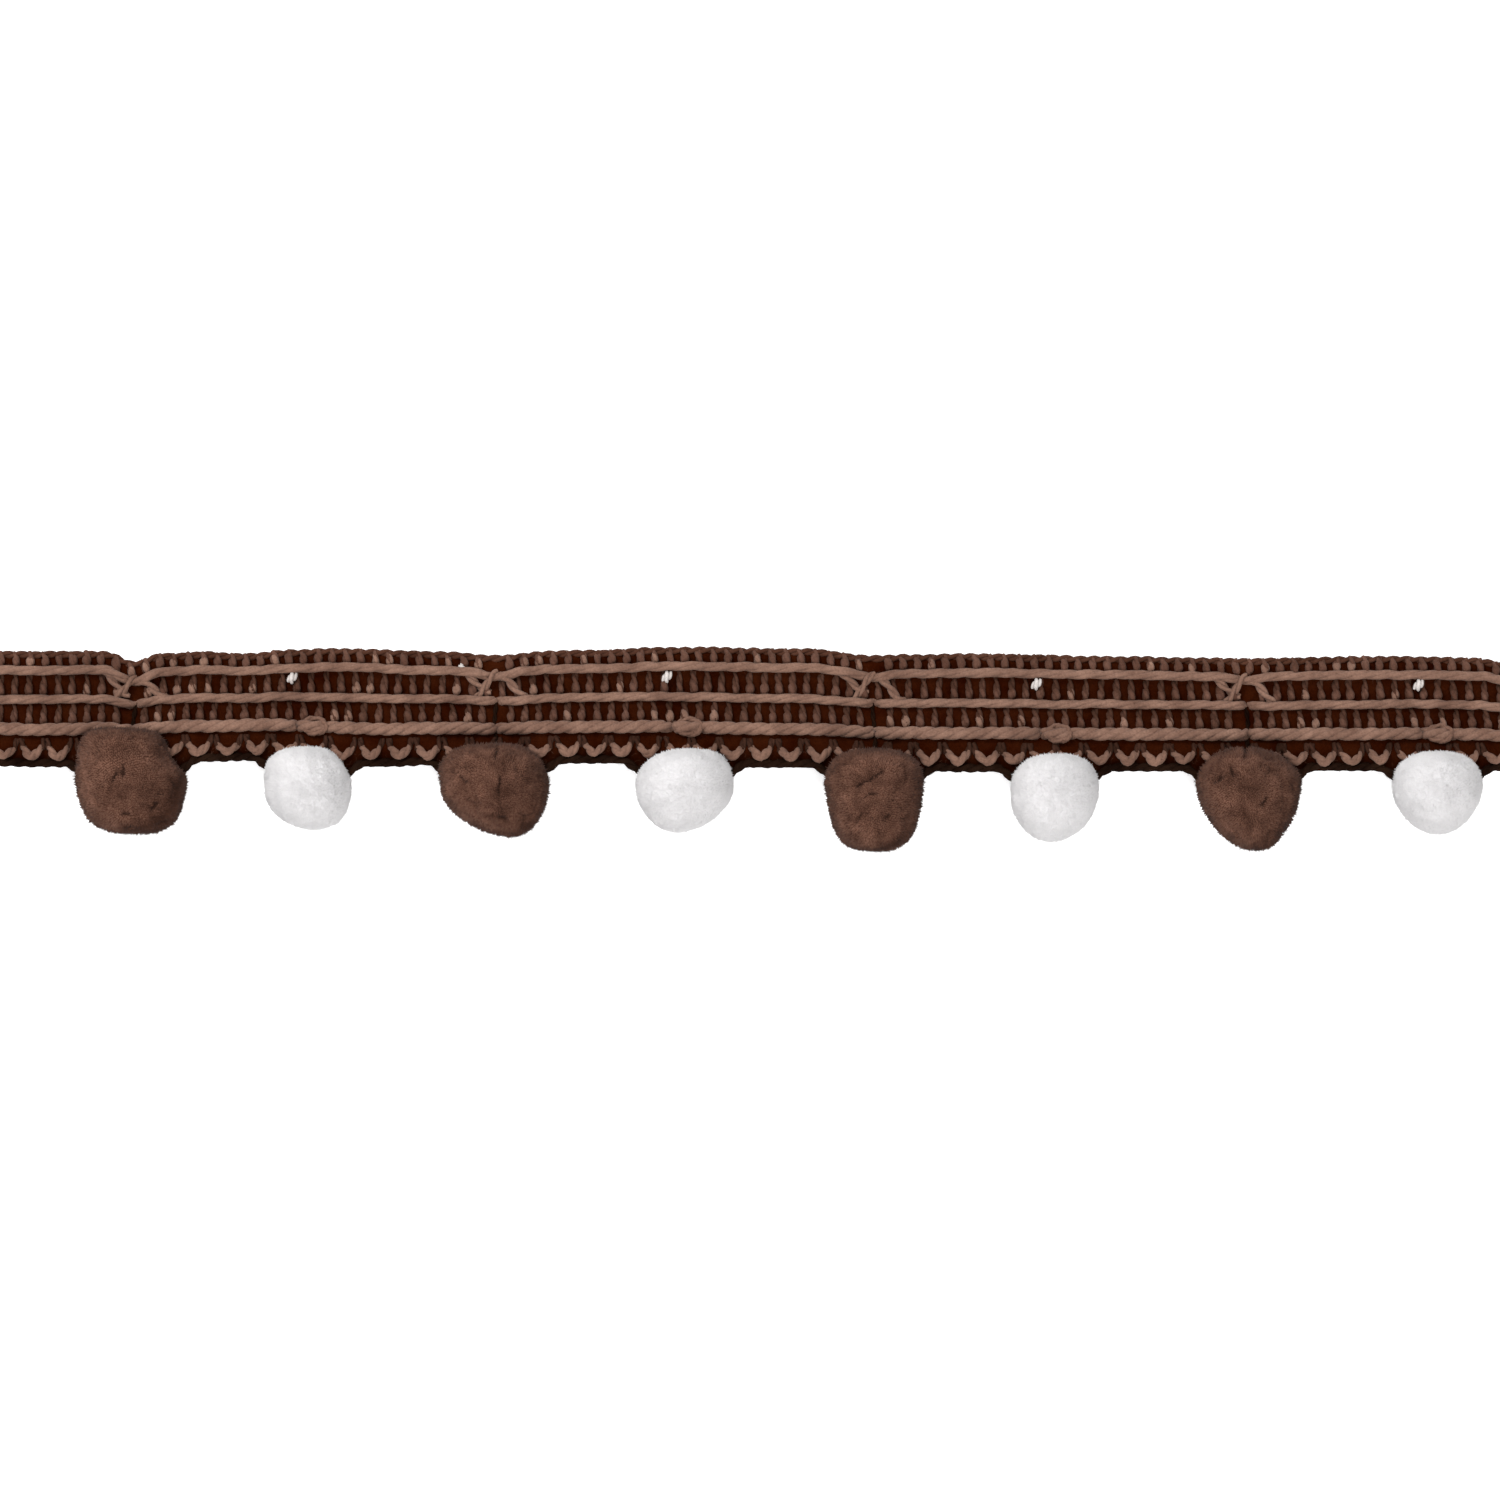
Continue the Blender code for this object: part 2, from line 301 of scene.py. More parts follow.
def ramp(tree, source, stops):
    made = node(tree, "ShaderNodeValToRGB", (("Fac", source),))
    elements = made.color_ramp.elements
    while len(elements) < len(stops):
        elements.new(0.5)
    for element, (place, colour) in zip(elements, stops):
        element.position = place
        element.color = colour
    return made.outputs["Color"]


def multiplied(tree, a, b, share):
    made = node(tree, "ShaderNodeMix", data_type="RGBA", blend_type="MULTIPLY")
    made.inputs[0].default_value = share
    tree.links.new(a, made.inputs[6])
    tree.links.new(b, made.inputs[7])
    return made.outputs[2]


def object_place(tree):
    return node(tree, "ShaderNodeTexCoord").outputs["Object"]


def attribute(tree, name):
    return node(tree, "ShaderNodeAttribute", attribute_name=name).outputs["Fac"]


def noise_texture(tree, place, scale, detail, roughness, distortion=0.0):
    inputs = (
        ("Vector", place),
        ("Scale", scale),
        ("Detail", detail),
        ("Roughness", roughness),
        ("Distortion", distortion),
    )
    return node(tree, "ShaderNodeTexNoise", inputs).outputs["Fac"]


def raise_surface(tree, shader, height, strength, distance):
    """Shades the surface as raised by a texture. The distance is in metres."""
    inputs = (("Height", height), ("Strength", strength), ("Distance", distance))
    lifted = node(tree, "ShaderNodeBump", inputs)
    tree.links.new(lifted.outputs["Normal"], shader.inputs["Normal"])


def roughen(tree, shader, source, least, most):
    inputs = (("Value", source), ("To Min", least), ("To Max", most))
    rough = node(tree, "ShaderNodeMapRange", inputs)
    tree.links.new(rough.outputs["Result"], shader.inputs["Roughness"])


def yarn_material(name, dark, light, relief=0.55, sheen=0.25, shine=0.12, shaded=""):
    """Spun yarn: slow changes of shade, fine fibres and a soft sheen.

    Where shaded names an attribute of the mesh, the yarn is painted darker by it, as shade."""
    material, tree, shader = shader_nodes(name)
    place = object_place(tree)
    slow = noise_texture(tree, place, 420.0, 4.0, 0.6)
    base = ramp(tree, slow, ((0.30, dark), (0.72, light)))
    fine = noise_texture(tree, place, 5200.0, 5.0, 0.7, 0.4)
    shade = ramp(tree, fine, ((0.25, FIBRE_SHADE), (0.62, WHITE)))
    colour = multiplied(tree, base, shade, 0.85)
    if shaded:
        darker = ramp(tree, attribute(tree, shaded), ((0.0, WHITE), (1.0, DEEP_SHADE)))
        colour = multiplied(tree, colour, darker, 1.0)
    tree.links.new(colour, shader.inputs["Base Color"])
    lumps = noise_texture(tree, place, 1700.0, 3.0, 0.55)
    summed = node(tree, "ShaderNodeMath", (("Value", fine),), operation="MULTIPLY_ADD")
    summed.inputs[1].default_value = 0.6
    tree.links.new(lumps, summed.inputs[2])
    raise_surface(tree, shader, summed.outputs["Value"], relief, 0.00018)
    roughen(tree, shader, fine, 0.82, 0.98)
    shader.inputs["Sheen Weight"].default_value = sheen
    shader.inputs["Sheen Roughness"].default_value = 0.5
    shader.inputs["Specular IOR Level"].default_value = shine
    return material


def pile_material(name, deep, dark, light, spot, sheen):
    """Cut pile: mottled in tone, with painted shade at the fibres' roots, on its sides and in its soft
    partings.
    """
    material, tree, shader = shader_nodes(name)
    place = object_place(tree)
    mottle = noise_texture(tree, place, 620.0, 5.0, 0.62, 0.5)
    base = ramp(tree, mottle, ((0.28, dark), (0.70, light)))
    grain = noise_texture(tree, place, 4200.0, 4.0, 0.7)
    shade = ramp(tree, grain, ((0.28, spot), (0.60, WHITE)))
    colour = multiplied(tree, base, shade, 0.8)
    # Painted shade: darker at the fibres' roots, on the pompom's sides and on its side turned from the
    # key light, by the pile's painted light attribute.
    depth = ramp(tree, attribute(tree, "pile_painted_light"), ((0.0, deep), (0.85, WHITE)))
    colour = multiplied(tree, colour, depth, 1.0)
    # Painted shade in the partings and creases, darker than at the roots.
    deepest = tuple(0.75 * c for c in deep[:3]) + (1.0,)
    creased = ramp(tree, attribute(tree, "parting"), ((0.0, WHITE), (0.8, deepest)))
    colour = multiplied(tree, colour, creased, 0.9)
    tree.links.new(colour, shader.inputs["Base Color"])
    raise_surface(tree, shader, grain, 0.35, 0.00015)
    roughen(tree, shader, grain, 0.86, 1.0)
    shader.inputs["Sheen Weight"].default_value = sheen
    shader.inputs["Sheen Roughness"].default_value = 0.45
    shader.inputs["Specular IOR Level"].default_value = 0.15
    return material


def floor_material():
    material, tree, shader = shader_nodes("pale_floor")
    cloud = noise_texture(tree, object_place(tree), 6.0, 2.0, 0.5)
    pale = (0.93, 0.93, 0.93, 1.0)
    paler = (0.95, 0.95, 0.95, 1.0)
    colour = ramp(tree, cloud, ((0.2, pale), (0.8, paler)))
    tree.links.new(colour, shader.inputs["Base Color"])
    shader.inputs["Roughness"].default_value = 0.9
    shader.inputs["Specular IOR Level"].default_value = 0.1
    shader.inputs["Emission Color"].default_value = WHITE
    shader.inputs["Emission Strength"].default_value = 0.42
    return material


RIB = yarn_material(
    "rib_yarn",
    (0.132, 0.068, 0.047, 1.0),
    (0.258, 0.148, 0.106, 1.0),
    sheen=0.06,
)
# Painted shade: the same brown yarn as the ribs, painted darker for the stitches that lie low between
# the ribs.
STITCH = yarn_material(
    "stitch_yarn",
    (0.066, 0.027, 0.016, 1.0),
    (0.128, 0.062, 0.043, 1.0),
    sheen=0.02,
)
LOOP = yarn_material(
    "loop_yarn",
    (0.126, 0.066, 0.046, 1.0),
    (0.224, 0.124, 0.088, 1.0),
    sheen=0.03,
)
# Painted shadow: the same brown yarn, painted darker still for the rungs' bars, which lie in the
# shadow of the rib above.
BAR = yarn_material(
    "bar_yarn",
    (0.044, 0.017, 0.009, 1.0),
    (0.096, 0.043, 0.028, 1.0),
    sheen=0.0,
)
# Painted shade: the same brown yarn, painted darkest for the loop roots that are drawn down into the
# cloth.
ROOT = yarn_material(
    "root_yarn",
    (0.024, 0.008, 0.003, 1.0),
    (0.056, 0.022, 0.013, 1.0),
    sheen=0.0,
)
EDGE = yarn_material(
    "edge_yarn",
    (0.045, 0.014, 0.006, 1.0),
    (0.085, 0.034, 0.020, 1.0),
    sheen=0.0,
)
# Painted shadow: the same brown yarn, painted near black for the lower hem as the shadow line under
# the loops. The tie threads take it too.
HEM = yarn_material(
    "hem_yarn",
    (0.006, 0.002, 0.001, 1.0),
    (0.020, 0.009, 0.005, 1.0),
    sheen=0.0,
    shine=0.02,
)
# Painted shade: the ground cloth is the same brown yarn, painted near black as the shade between the
# cords, and darker still where its deep attribute is set.
BASE = yarn_material(
    "ground_yarn",
    (0.022, 0.0030, 0.0004, 1.0),
    (0.042, 0.0090, 0.0026, 1.0),
    relief=0.8,
    sheen=0.0,
    shine=0.0,
    shaded="deep",
)
FLECK = yarn_material(
    "fleck_yarn",
    (0.50, 0.45, 0.42, 1.0),
    (0.72, 0.68, 0.66, 1.0),
)
# Painted shade: deep is the colour by which the roots, sides and partings are painted darker.
BROWN_PILE = pile_material(
    "brown_pile_fibre",
    deep=(0.26, 0.20, 0.16, 1.0),
    dark=(0.104, 0.045, 0.028, 1.0),
    light=(0.330, 0.168, 0.116, 1.0),
    spot=(0.60, 0.53, 0.48, 1.0),
    sheen=0.03,
)
WHITE_PILE = pile_material(
    "white_pile_fibre",
    deep=(0.90, 0.90, 0.91, 1.0),
    dark=(0.800, 0.785, 0.785, 1.0),
    light=(0.880, 0.862, 0.862, 1.0),
    spot=(0.97, 0.97, 0.97, 1.0),
    sheen=0.0,
)


# Pieces

def add_mesh(name, mesh, material):
    """Finishes a bmesh as a piece that rides on the one body."""
    for face in mesh.faces:
        face.smooth = True
    data = bpy.data.meshes.new(name)
    mesh.to_mesh(data)
    mesh.free()
    data.materials.append(material)
    piece = bpy.data.objects.new(name, data)
    bpy.context.scene.collection.objects.link(piece)
    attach(piece, "root")
    return piece


def add_strands(name, strands, thickness, sides, material):
    """Strands of yarn as one piece. Each strand is a list of (x, y, z, share of the thickness)."""
    data = bpy.data.curves.new(name + "_line", "CURVE")
    data.dimensions = "3D"
    data.bevel_depth = METRES * thickness
    data.bevel_resolution = sides
    data.use_fill_caps = True
    data.resolution_u = 1
    for strand in strands:
        line = data.splines.new("POLY")
        line.points.add(len(strand) - 1)
        for point, (x, y, z, share) in zip(line.points, strand):
            point.co = (*placed(x, y, z), 1.0)
            point.radius = share
    holder = bpy.data.objects.new(name + "_line", data)
    bpy.context.scene.collection.objects.link(holder)
    bpy.context.view_layer.update()
    graph = bpy.context.evaluated_depsgraph_get()
    mesh = bmesh.new()
    shape = bpy.data.meshes.new_from_object(holder.evaluated_get(graph))
    mesh.from_mesh(shape)
    bpy.data.objects.remove(holder, do_unlink=True)
    bpy.data.curves.remove(data)
    bpy.data.meshes.remove(shape)
    return add_mesh(name, mesh, material)


def plied(path, spread, turn_length, plies, phase=0.0):
    """The strands of a cord: each winds round the path once in every turn length."""
    strands = []
    lengths = [0.0]
    for a, b in zip(path, path[1:]):
        lengths.append(lengths[-1] + math.dist(a[:3], b[:3]))
    for k in range(plies):
        strand = []
        for i, point in enumerate(path):
            here = Vector(point[:3])
            ahead = Vector(path[min(i + 1, len(path) - 1)][:3]) - Vector(path[max(i - 1, 0)][:3])
            side = ahead.cross(Vector((0.0, 0.0, 1.0)))
            if side.length < 1e-6:
                side = Vector((1.0, 0.0, 0.0))
            side.normalize()
            up = side.cross(ahead).normalized()
            angle = 2.0 * math.pi * (lengths[i] / turn_length + k / plies) + phase
            here += spread * (math.cos(angle) * side + math.sin(angle) * up)
            strand.append((*here, point[3]))
        strands.append(strand)
    return strands


def ground():
    """The cloth that the cords stand on, closed and about a third of a millimetre thick. It is painted
    dark as the shade between the cords.
    """
    mesh = bmesh.new()
    rows = len(GROUND) - 1
    columns = 240
    bmesh.ops.create_grid(mesh, x_segments=columns, y_segments=rows, size=1.0)
    deep = mesh.verts.layers.float.new("deep")
    for vert in mesh.verts:
        x = 0.5 * LENGTH * vert.co.x * 0.998
        i = round(0.5 * (1.0 - vert.co.y) * rows)
        across, height = GROUND[i]
        # Painted shade: the strip along the lower edge, under the loops and the hem, is marked to be
        # painted darker.
        vert[deep] = 0.7 if across > 0.9 else 0.0
        if across > 0.9:
            across += droop(x) * (across - 0.85) / 0.15
        height += 0.06 * noise.noise(Vector((2.1 * x, 9.0 * across, 0.0)))
        vert.co = placed(*on_braid(x, across, height))
    bmesh.ops.recalc_face_normals(mesh, faces=mesh.faces)
    if sum(face.normal.z for face in mesh.faces) < 0.0:
        bmesh.ops.reverse_faces(mesh, faces=mesh.faces)
    bmesh.ops.solidify(mesh, geom=mesh.faces[:], thickness=METRES * 0.32)
    for vert in mesh.verts:
        vert.co.z = max(vert.co.z, METRES * 0.01)
    bmesh.ops.recalc_face_normals(mesh, faces=mesh.faces)
    return add_mesh("braid_ground", mesh, BASE)


RIB_COLUMNS = ("name", "across", "height", "ply", "spread", "turn")
RIBS = (
    ("rib_upper", 0.150, 1.00, 0.275, 0.160, 6.6),
    ("rib_middle", 0.413, 1.00, 0.270, 0.155, 5.8),
    ("rib_lower", 0.676, 1.00, 0.345, 0.235, 4.2),
)


def rib_dip(x, number):
    """How far a rib is drawn down into the cloth at x: at each tie, and beside each knot."""
    dip = 0.0
    for c in BROWN_X:
        if number == 0:
            dip = max(dip, UPPER_RIB_DIP * bump(x - c + 0.4, 1.4))
        else:
            dip = max(dip, RIB_DIP * bump(x - c - 0.1, 0.85))
    if number == 2:
        for c in WHITE_X:
            dip = max(dip, RIB_DIP * bump(x - c + 1.1, 0.85))
            dip = max(dip, KNOT_SIDE_DIP * bump(x - c - 1.5, 0.9))
    return dip


def ribs():
    """The three plied cords along the braid. The upper one bends down at each brown pompom."""
    for number, rib in enumerate(named(RIB_COLUMNS, RIBS)):
        path = []
        for t in steps(420):
            x = LENGTH * (t - 0.5) * 0.999
            across = rib["across"] + wobble(x, number + 1.0, 0.009)
            if number == 0:
                for c in BROWN_X:
                    across += 0.035 * bump(x - c, 2.6)
            height = rib["height"] - rib_dip(x, number) + wobble(x, number + 5.0, 0.05)
            path.append((*on_braid(x, across, height), 1.0 + wobble(x, number + 9.0, 0.09)))
        strands = plied(path, rib["spread"], rib["turn"], 3, phase=number)
        add_strands(rib["name"], strands, rib["ply"], 2, RIB)


# Rows of rungs. Each rung is a bar from start to end, highest at its crown, with a bead near its lower
# end. In the two lower rows the bars take yarn painted darker than the beads', as the shadow of the
# rib above.
STEP_COLUMNS = (
    "name",
    "start",
    "end",
    "crown",
    "height",
    "pitch",
    "ply",
    "material",
    "bead",
    "bead_length",
    "bead_ply",
)
STEPS = (
    ("stitches_top", -0.004, 0.118, 0.60, 0.74, 1.28, 0.235, STITCH, 0.078, 0.094, 0.262),
    ("stitches_upper", 0.190, 0.390, 0.70, 0.80, 1.29, 0.230, BAR, 0.330, 0.095, 0.265),
    ("stitches_lower", 0.455, 0.645, 0.70, 0.80, 1.27, 0.230, BAR, 0.582, 0.095, 0.265),
)
RUNG_FOOT = 0.36
PALE_BEADS = 0.22


def rung_bar(step, x, lean, size, high, seed):
    """The line of one rung's bar across the braid."""
    path = []
    bend = math.log(0.5) / math.log(step["crown"])
    for t in steps(8):
        across = step["start"] + (step["end"] - step["start"]) * t
        across += wobble(x, seed, 0.006)
        hump = math.sin(math.pi * t ** bend)
        height = RUNG_FOOT + (high - RUNG_FOOT) * max(0.0, hump) ** 0.75
        spot = on_braid(x + lean * (t - 0.5), across, height)
        path.append((*spot, size * (0.80 + 0.25 * hump ** 2)))
    return path


def rung_bead(step, x, lean, size, high, seed):
    """The line of the bead near a rung's lower end."""
    path = []
    for t in steps(6):
        hump = math.sin(math.pi * t)
        across = step["bead"] + step["bead_length"] * (t - 0.5) + wobble(x, seed, 0.006)
        height = high - 0.20 + 0.28 * hump
        spot = on_braid(x + lean * 0.3 + 0.10 * (t - 0.5), across, height)
        path.append((*spot, size * (0.50 + 0.50 * hump ** 0.6)))
    return path


def stitches():
    """Short bars of doubled yarn that step along beside the ribs, highest near their lower ends."""
    for number, step in enumerate(named(STEP_COLUMNS, STEPS)):
        chance = random.Random(100 + number)
        bars = []
        beads = {"": [], "_pale": []}
        x = -0.5 * LENGTH + 0.6
        while x < 0.5 * LENGTH - 0.5:
            lean = chance.uniform(-0.14, 0.14) + (0.12 if number == 0 else 0.05)
            size = chance.uniform(0.84, 1.14)
            high = step["height"] + chance.uniform(-0.10, 0.08)
            tied = min(abs(x - c) for c in BROWN_X) < (0.42 if number else 0.3)
            if not tied:
                path = rung_bar(step, x, lean, size, high, number + 20.0)
                bars += plied(path, 0.13, 2.4, 2, phase=chance.uniform(0.0, 6.0))
                path = rung_bead(step, x, lean, size, high, number + 20.0)
                tint = "_pale" if chance.random() < PALE_BEADS else ""
                beads[tint] += plied(path, 0.11, 2.4, 2, phase=chance.uniform(0.0, 6.0))
            x += step["pitch"] * chance.uniform(0.93, 1.07)
        add_strands(step["name"], bars, step["ply"], 1, step["material"])
        for tint, strands in beads.items():
            name = step["name"] + "_beads" + tint
            material = RIB if tint else STITCH
            add_strands(name, strands, step["bead_ply"], 1, material)


# The V-shaped loops: their spacing, and where across the braid their points, the tops of their
# arms and the ends of their roots lie
LOOP_PITCH = 2.46
LOOP_LOW = 0.926
LOOP_HIGH = 0.843
ROOT_END = 0.765


def loops():
    """The lower row: separate loops shaped like a V, their arms drawn down into the cloth."""
    chance = random.Random(7)
    strands = []
    roots = []
    x = -0.5 * LENGTH + 1.2
    while x < 0.5 * LENGTH - 1.0:
        half = chance.uniform(0.80, 0.96)
        low = LOOP_LOW + chance.uniform(-0.010, 0.010)
        high = LOOP_HIGH + chance.uniform(-0.012, 0.010)
        size = chance.uniform(0.90, 1.10)
        path = []
        for step in steps(14):
            t = 2.0 * step - 1.0
            across = low + (high - low) * abs(t) ** 1.35
            height = 0.92 - 0.48 * max(0.0, abs(t) - 0.60) / 0.40
            thick = 1.0 + 0.16 * math.exp(-((abs(t) - 0.35) / 0.25) ** 2)
            thick -= 0.30 * max(0.0, abs(t) - 0.75) / 0.25
            path.append((*on_braid(x + half * t, across, height), size * thick))
        strands += plied(path, 0.12, 2.3, 2, phase=chance.uniform(0.0, 6.0))
        for side in (-1.0, 1.0):
            path = []
            for t in steps(5):
                across = (high + 0.02) * (1.0 - t) + ROOT_END * t
                spot = on_braid(x + side * (half + 0.18 * t), across, 0.54 - 0.10 * t)
                path.append((*spot, 0.9 * size))
            roots += plied(path, 0.11, 2.3, 2, phase=x)
        x += LOOP_PITCH * chance.uniform(0.93, 1.07)
    add_strands("loop_roots", roots, 0.21, 1, ROOT)
    add_strands("loops_lower", strands, 0.248, 2, LOOP)


EDGE_COLUMNS = ("name", "across", "height", "ply", "material")
EDGES = (
    ("edge_top", 0.012, 0.42, 0.20, EDGE),
    ("edge_lower", 0.972, 0.40, 0.26, HEM),
)


def edges():
    """Thin dark cords that close the two long edges, the lower one drawn down beside each pompom and
    painted near black as the shadow line under the loops.
    """
    for edge in named(EDGE_COLUMNS, EDGES):
        path = []
        for t in steps(420):
            x = LENGTH * (t - 0.5) * 0.999
            across = edge["across"] + wobble(x, edge["across"], 0.008)
            if edge["across"] > 0.5:
                across += droop(x)
            path.append((*on_braid(x, across, edge["height"]), 1.0))
        strands = plied(path, 0.16, 2.4, 2)
        add_strands(edge["name"], strands, edge["ply"], 1, edge["material"])


# The strands that cross at each brown pompom, with x counted from its centre
TIE_COLUMNS = ("from_x", "from_across", "to_x", "to_across", "rise", "size")
TIES = (
    (-3.4, 0.140, -0.5, 0.330, 0.06, 0.92),
    (0.1, 0.150, -1.9, 0.385, 0.22, 0.85),
    (0.3, 0.180, 2.7, 0.395, 0.40, 0.98),
)
TIE_FOOT = 0.72


def ties():
    """Where each brown pompom is tied in.

    Strands cross between the ribs, and a thread is drawn down the face."""
    crossed = []
    drawn = []
    for c in BROWN_X:
        for tie in named(TIE_COLUMNS, TIES):
            path = []
            for t in steps(16):
                ease = t * t * (3.0 - 2.0 * t)
                x = c + tie["from_x"] + (tie["to_x"] - tie["from_x"]) * t
                across = tie["from_across"] + (tie["to_across"] - tie["from_across"]) * ease
                height = TIE_FOOT + tie["rise"] * math.sin(math.pi * t)
                path.append((*on_braid(x, across, height), tie["size"]))
            crossed += plied(path, 0.17, 2.8, 2, phase=c)
        path = []
        for t in steps(22):
            x = c + 0.12 * math.sin(5.0 * t + c)
            height = 0.52 + 0.08 * math.sin(9.0 * t)
            path.append((*on_braid(x, 0.40 + 0.50 * t, height), 1.0))
        drawn += plied(path, 0.09, 1.8, 2, phase=c)
    add_strands("tie_crossings", crossed, 0.235, 1, RIB)
    # The drawn threads are painted near black with the hem's yarn, as shade along the join.
    add_strands("tie_threads", drawn, 0.12, 1, HEM)


# A knot's ring: its centre beside the pompom's, its place across, and its half sizes
RING_ASIDE = 0.45
RING_HALF_LENGTH = 1.00
RING_ACROSS = 0.672
RING_HALF_ACROSS = 0.066

# The lone small fleck by the top edge
LONE_FLECK_X = -25.5


def knots():
    """Over each white pompom a small ring of yarn breaks the lower rib.

    A light fleck shows between the ribs above it."""
    rings = []
    flecks = []
    chance = random.Random(31)
    for c in WHITE_X:
        path = []
        for i in range(19):
            angle = 2.0 * math.pi * i / 16.0 + 0.4
            x = c + RING_ASIDE + RING_HALF_LENGTH * math.cos(angle)
            across = RING_ACROSS + RING_HALF_ACROSS * math.sin(angle)
            path.append((*on_braid(x, across, 0.98 + 0.02 * i / 16.0), 1.0))
        rings += plied(path, 0.11, 2.0, 2, phase=c)
        start = c - 1.45 + chance.uniform(-0.15, 0.30)
        path = []
        for t in steps(8):
            hump = math.sin(math.pi * t)
            spot = on_braid(start + 0.35 * (0.5 - t), 0.205 + 0.070 * t, 0.84 + 0.30 * hump)
            path.append((*spot, 0.70 + 0.5 * hump))
        flecks += plied(path, 0.21, 2.2, 3)
    path = []
    for t in steps(6):
        hump = math.sin(math.pi * t)
        spot = on_braid(LONE_FLECK_X + 0.30 * t, 0.095 + 0.02 * t, 0.82 + 0.18 * hump)
        path.append((*spot, 0.5 + 0.3 * hump))
    flecks += plied(path, 0.12, 1.6, 2)
    add_strands("knot_rings", rings, 0.19, 1, LOOP)
    add_strands("white_flecks", flecks, 0.17, 1, FLECK)


def slot_back(x, y):
    """The height under the braid's back that a pompom's parted top stays below."""
    top = between(TOP_EDGE, x)
    lower = between(LOWER_EDGE, x)
    return back_height(min(1.0, (top - y) / (top - lower))) - GAP


def outer(pompom, tall, wide, across, forward):
    """A point of the pompom's outside, from a direction: tall is towards the foot."""
    if tall > 0.0:
        power = pompom["fullness"]
        reach = pompom["bottom"]
    else:
        power = SHOULDERS.get(pompom["name"], UPPER_FULLNESS[pompom["yarn"]])
        reach = pompom["top"]
    size = (abs(tall) ** power + wide ** power) ** (-1.0 / power)
    y = pompom["waist"] + (reach - pompom["waist"]) * abs(tall) * size
    fall = pompom["waist"] - y
    radius = wide * size
    narrowed = 1.0 - pompom["taper"] * max(fall, -1.0) / 4.0
    half = 0.5 * pompom["width"] * radius * narrowed
    share = fall / (pompom["waist"] - pompom["bottom"])
    lean = pompom["lean"] * share * abs(share)
    if share < 0.0:
        lean = max(-0.3, lean)
        narrower, aside = NECKS.get(pompom["name"], (0.0, 0.0))
        risen = max(0.0, min(1.0, (-share - 0.15) / 0.75))
        risen *= risen * (3.0 - 2.0 * risen)
        half *= 1.0 - narrower * risen
        lean += aside * risen
    depth = FRONT_DEPTH if forward > 0.0 else BACK_DEPTH
    z = CENTRE_HEIGHT + depth * radius * forward
    return Vector((pompom["x"] + lean + half * across, y, z))


def mark_at(x, y):
    """How deep in a parting the point of the face is, from 0 to 1. The pile is painted dark with shade
    by it.
    """
    deep = 0.0
    for mark in MARK_ROWS:
        from_x = x - mark["x"]
        from_y = y - mark["y"]
        if abs(from_x) < MARK_REACH and abs(from_y) < MARK_REACH:
            slant = math.radians(mark["slant"])
            along = from_x * math.cos(slant) + from_y * math.sin(slant)
            beside = from_y * math.cos(slant) - from_x * math.sin(slant)
            beside += 0.12 * math.sin(3.0 * along)
            past = max(0.0, abs(along) - 0.5 * mark["long"] + 0.2)
            near = math.exp(-(beside / MARK_WIDTH) ** 2 - (past / MARK_FADE) ** 2)
            deep = max(deep, near)
    return deep


def pompom_form(pompom, number, mesh, parted):
    """Moves the points of a ball onto the pompom, with its creases and its parted top."""
    offset = Vector((13.7 * number, 5.1, 2.9 * number))
    heart = Vector((pompom["x"], pompom["waist"], CENTRE_HEIGHT))
    for vert in mesh.verts:
        way = vert.co.normalized()
        tall = -way.y
        wide = math.sqrt(max(0.0, 1.0 - tall * tall))
        turn = max(1e-9, math.hypot(way.x, way.z))
        point = outer(pompom, tall, wide, way.x / turn, way.z / turn)
        soft = 0.16 * noise.noise(1.7 * way + offset) + 0.16 * noise.noise(4.1 * way + offset)
        ridge = abs(noise.noise(2.9 * way + 2.0 * offset))
        where = max(0.0, min(1.0, 4.5 * noise.noise(2.3 * way - offset) + 0.25))
        crease = max(0.0, 1.0 - ridge / 0.085) * where
        crease *= CREASING[pompom["yarn"]]
        if way.z > 0.0:
            crease = min(1.0, crease + mark_at(point.x, point.y))
        swell = 1.0 + 0.10 * soft - 0.055 * crease - 0.030
        point = heart + (point - heart) * swell
        if tall < -0.30:
            if way.z >= 0.0:
                point.z = max(point.z, SLOT_FRONT * min(1.0, 0.9 + way.z))
            else:
                point.z = min(point.z, max(0.3, slot_back(point.x, point.y)))
        point.z = max(point.z, 0.14)
        # The crease depth is kept for the pile material to paint shade into the creases and partings.
        vert[parted] = crease
        vert.co = point
    mesh.normal_update()


